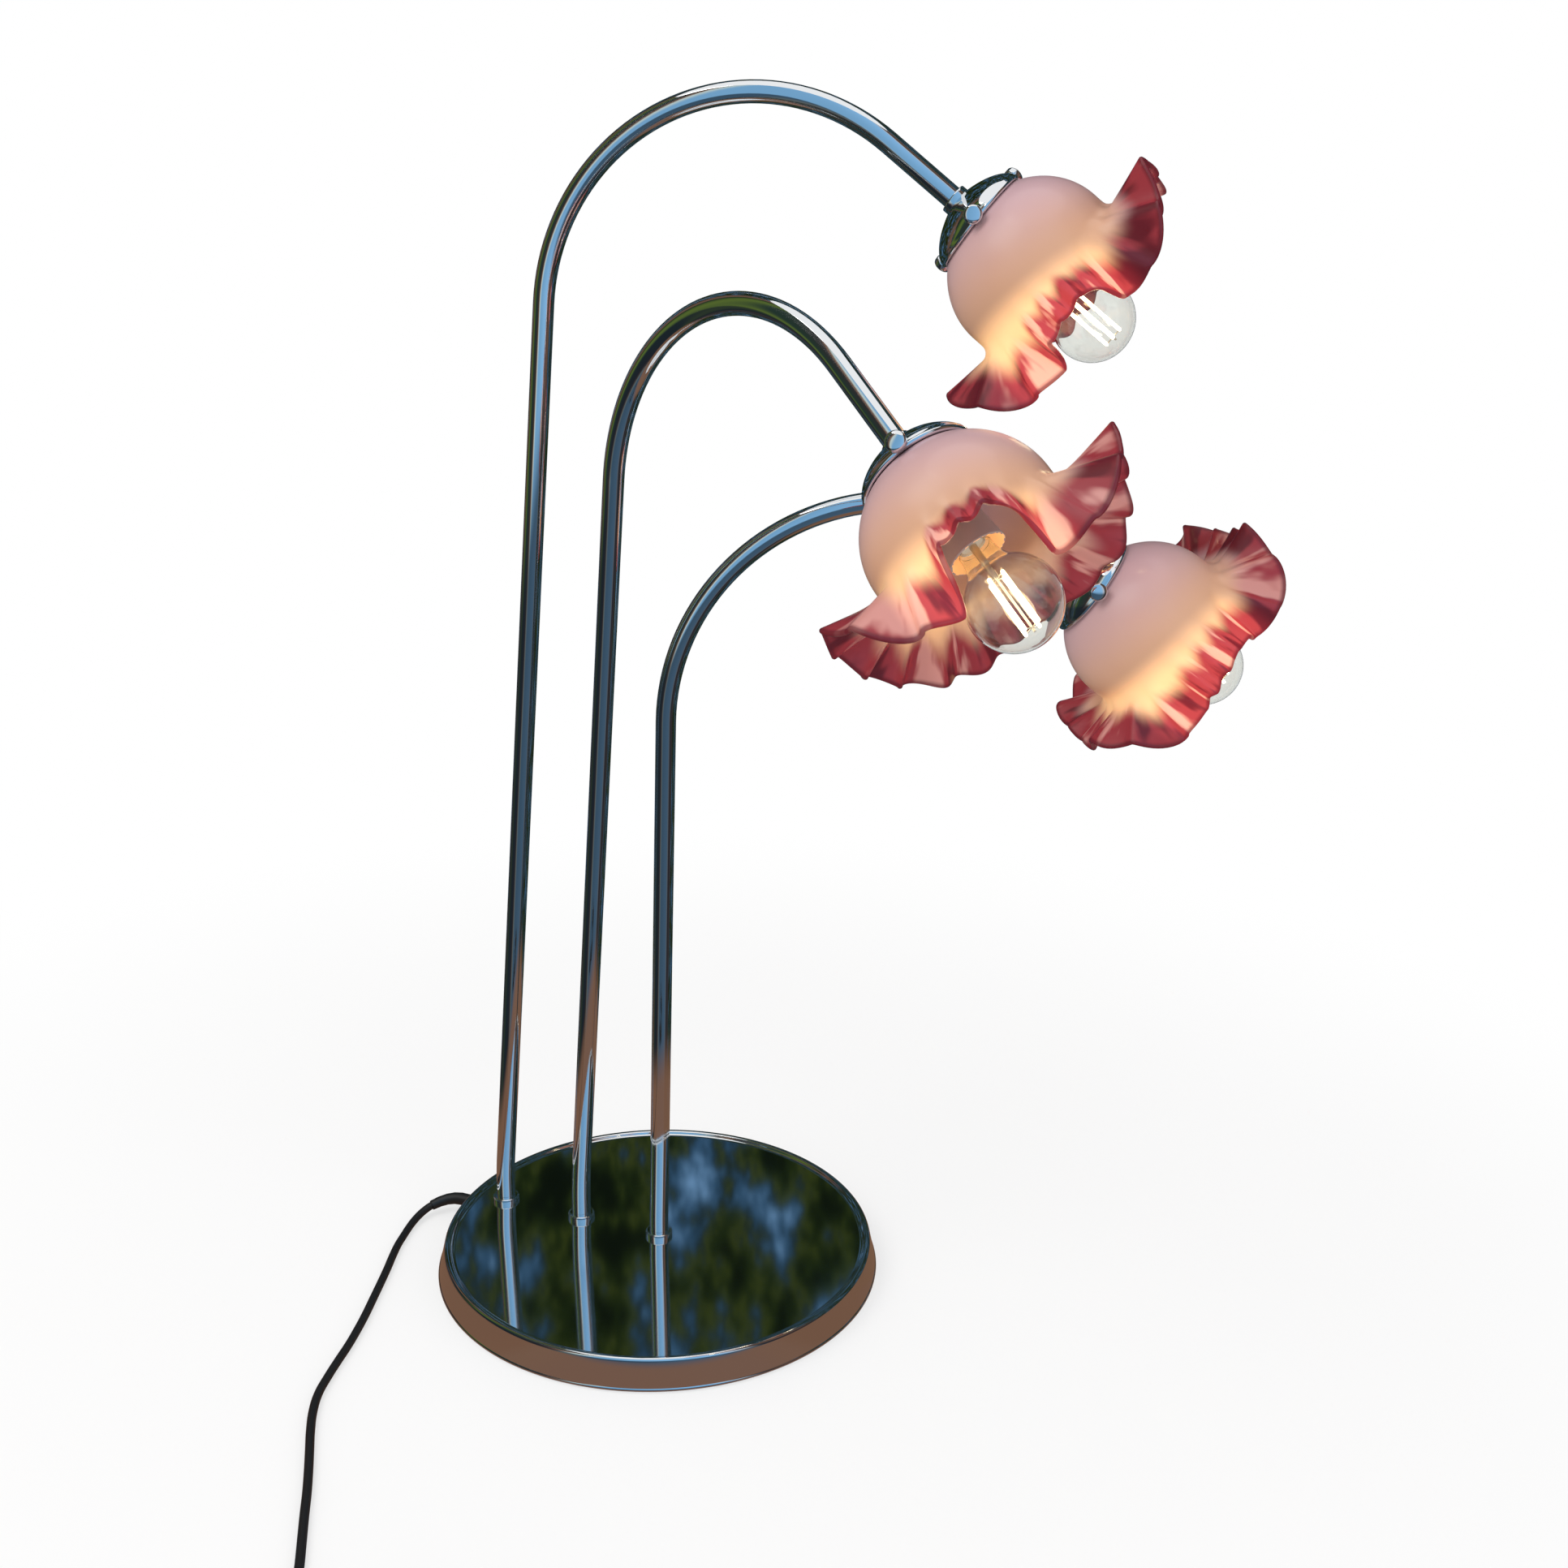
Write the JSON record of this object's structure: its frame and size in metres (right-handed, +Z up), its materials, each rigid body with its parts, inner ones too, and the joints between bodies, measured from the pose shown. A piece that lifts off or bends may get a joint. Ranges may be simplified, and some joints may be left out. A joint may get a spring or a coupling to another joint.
{
  "type": "table lamp",
  "caption": "Table lamp with a round chromed foot, three curved tube arms of stepped height and ruffled frosted glass tulip shades over clear ball bulbs.",
  "frame": {"origin": "centre of the foot's underside, on the surface the lamp stands on", "axes": "+Z up; the three arms' feet stand in a line along -X from the centre, the cord leaves the foot at -X and the arms reach towards +X"},
  "size_m": [0.5078, 0.5923, 0.7102],
  "materials": {
    "chrome": "polished",
    "cast_iron": "rough",
    "zinc_sheet": "satin",
    "felt": "matte",
    "porcelain_white": "gloss",
    "brass": "satin",
    "black_rubber": "matte",
    "cord_sheath": "satin",
    "wire_sheath": "satin",
    "holder_plastic": "satin",
    "frosted_glass": "satin frosted, wine-red edge",
    "clear_glass": "clear gloss",
    "cap_metal": "satin",
    "filament": "glowing",
    "tie_plastic": "satin",
    "switch_plastic": "satin",
    "rocker_plastic": "gloss",
    "pin_metal": "polished"
  },
  "bodies": {
    "foot": {"base_shell": "chrome", "base_weight": "cast_iron", "bottom_cover": "zinc_sheet", "felt_pad": "felt", "cover_screws": "zinc_sheet", "terminal_block": "porcelain_white", "terminal_screws": "brass", "cord_gland": "black_rubber", "inner_cord": "cord_sheath", "base_wires": "wire_sheath", "tall_foot_nipple": "brass", "tall_foot_nuts": "zinc_sheet", "middle_foot_nipple": "brass", "middle_foot_nuts": "zinc_sheet", "short_foot_nipple": "brass", "short_foot_nuts": "zinc_sheet", "supply_cord": "cord_sheath", "switch_body": "switch_plastic", "cord_leads": "cord_sheath", "cord_coil": "cord_sheath", "cord_tie": "tie_plastic", "plug_body": "switch_plastic", "plug_pins": "pin_metal"},
    "tall_arm": {"tall_tube": "chrome", "tall_lead": "wire_sheath", "tall_gallery": "chrome", "tall_head_nipple": "brass", "tall_lampholder": "holder_plastic", "tall_shade": "frosted_glass"},
    "tall_bulb": {"tall_bulb_glass": "clear_glass", "tall_bulb_cap": "cap_metal", "tall_bulb_filament": "filament"},
    "tall_screw_1": {"tall_thumbscrew_1": "chrome"},
    "tall_screw_2": {"tall_thumbscrew_2": "chrome"},
    "tall_screw_3": {"tall_thumbscrew_3": "chrome"},
    "middle_arm": {"middle_tube": "chrome", "middle_lead": "wire_sheath", "middle_gallery": "chrome", "middle_head_nipple": "brass", "middle_lampholder": "holder_plastic", "middle_shade": "frosted_glass"},
    "middle_bulb": {"middle_bulb_glass": "clear_glass", "middle_bulb_cap": "cap_metal", "middle_bulb_filament": "filament"},
    "middle_screw_1": {"middle_thumbscrew_1": "chrome"},
    "middle_screw_2": {"middle_thumbscrew_2": "chrome"},
    "middle_screw_3": {"middle_thumbscrew_3": "chrome"},
    "short_arm": {"short_tube": "chrome", "short_lead": "wire_sheath", "short_gallery": "chrome", "short_head_nipple": "brass", "short_lampholder": "holder_plastic", "short_shade": "frosted_glass"},
    "short_bulb": {"short_bulb_glass": "clear_glass", "short_bulb_cap": "cap_metal", "short_bulb_filament": "filament"},
    "short_screw_1": {"short_thumbscrew_1": "chrome"},
    "short_screw_2": {"short_thumbscrew_2": "chrome"},
    "short_screw_3": {"short_thumbscrew_3": "chrome"},
    "rocker": {"switch_rocker": "rocker_plastic"}
  },
  "joints": [
    {"name": "tall_swivel", "type": "hinge", "parent": "foot", "child": "tall_arm", "pos_m": [-0.112, 0, 0.0175], "axis": [0, 0, 1], "range_deg": [-8, 10]},
    {"name": "tall_bulb_draw", "type": "slide", "parent": "tall_arm", "child": "tall_bulb", "axis": [0.776, 0.1368, -0.6157], "range_m": [0, 0.02]},
    {"name": "tall_screw_1_back_off", "type": "slide", "parent": "tall_arm", "child": "tall_screw_1", "axis": [0.2051, -0.9779, 0.0412], "range_m": [0, 0.004]},
    {"name": "tall_screw_2_back_off", "type": "slide", "parent": "tall_arm", "child": "tall_screw_2", "axis": [-0.6191, 0.3518, -0.7021], "range_m": [0, 0.004]},
    {"name": "tall_screw_3_back_off", "type": "slide", "parent": "tall_arm", "child": "tall_screw_3", "axis": [0.4139, 0.626, 0.6609], "range_m": [0, 0.004]},
    {"name": "middle_swivel", "type": "hinge", "parent": "foot", "child": "middle_arm", "pos_m": [-0.056, 0, 0.0175], "axis": [0, 0, 1], "range_deg": [-10, 8]},
    {"name": "middle_bulb_draw", "type": "slide", "parent": "middle_arm", "child": "middle_bulb", "axis": [0.6862, -0.3406, -0.6428], "range_m": [0, 0.02]},
    {"name": "middle_screw_1_back_off", "type": "slide", "parent": "middle_arm", "child": "middle_screw_1", "axis": [-0.0213, -0.8926, 0.4503], "range_m": [0, 0.004]},
    {"name": "middle_screw_2_back_off", "type": "slide", "parent": "middle_arm", "child": "middle_screw_2", "axis": [-0.6191, 0.1906, -0.7618], "range_m": [0, 0.004]},
    {"name": "middle_screw_3_back_off", "type": "slide", "parent": "middle_arm", "child": "middle_screw_3", "axis": [0.6404, 0.702, 0.3116], "range_m": [0, 0.004]},
    {"name": "short_swivel", "type": "hinge", "parent": "foot", "child": "short_arm", "pos_m": [0, 0, 0.0175], "axis": [0, 0, 1], "range_deg": [-8, 10]},
    {"name": "short_bulb_draw", "type": "slide", "parent": "short_arm", "child": "short_bulb", "axis": [0.7862, 0.2631, -0.5592], "range_m": [0, 0.02]},
    {"name": "short_screw_1_back_off", "type": "slide", "parent": "short_arm", "child": "short_screw_1", "axis": [0.3446, -0.9377, 0.0434], "range_m": [0, 0.004]},
    {"name": "short_screw_2_back_off", "type": "slide", "parent": "short_arm", "child": "short_screw_2", "axis": [-0.6166, 0.2724, -0.7387], "range_m": [0, 0.004]},
    {"name": "short_screw_3_back_off", "type": "slide", "parent": "short_arm", "child": "short_screw_3", "axis": [0.2719, 0.6653, 0.6953], "range_m": [0, 0.004]},
    {"name": "switch_rock", "type": "hinge", "parent": "foot", "child": "rocker", "pos_m": [0.03907, -0.33281, 0.014], "axis": [-0.3584, 0.9336, 0], "range_deg": [-7, 7]}
  ]
}
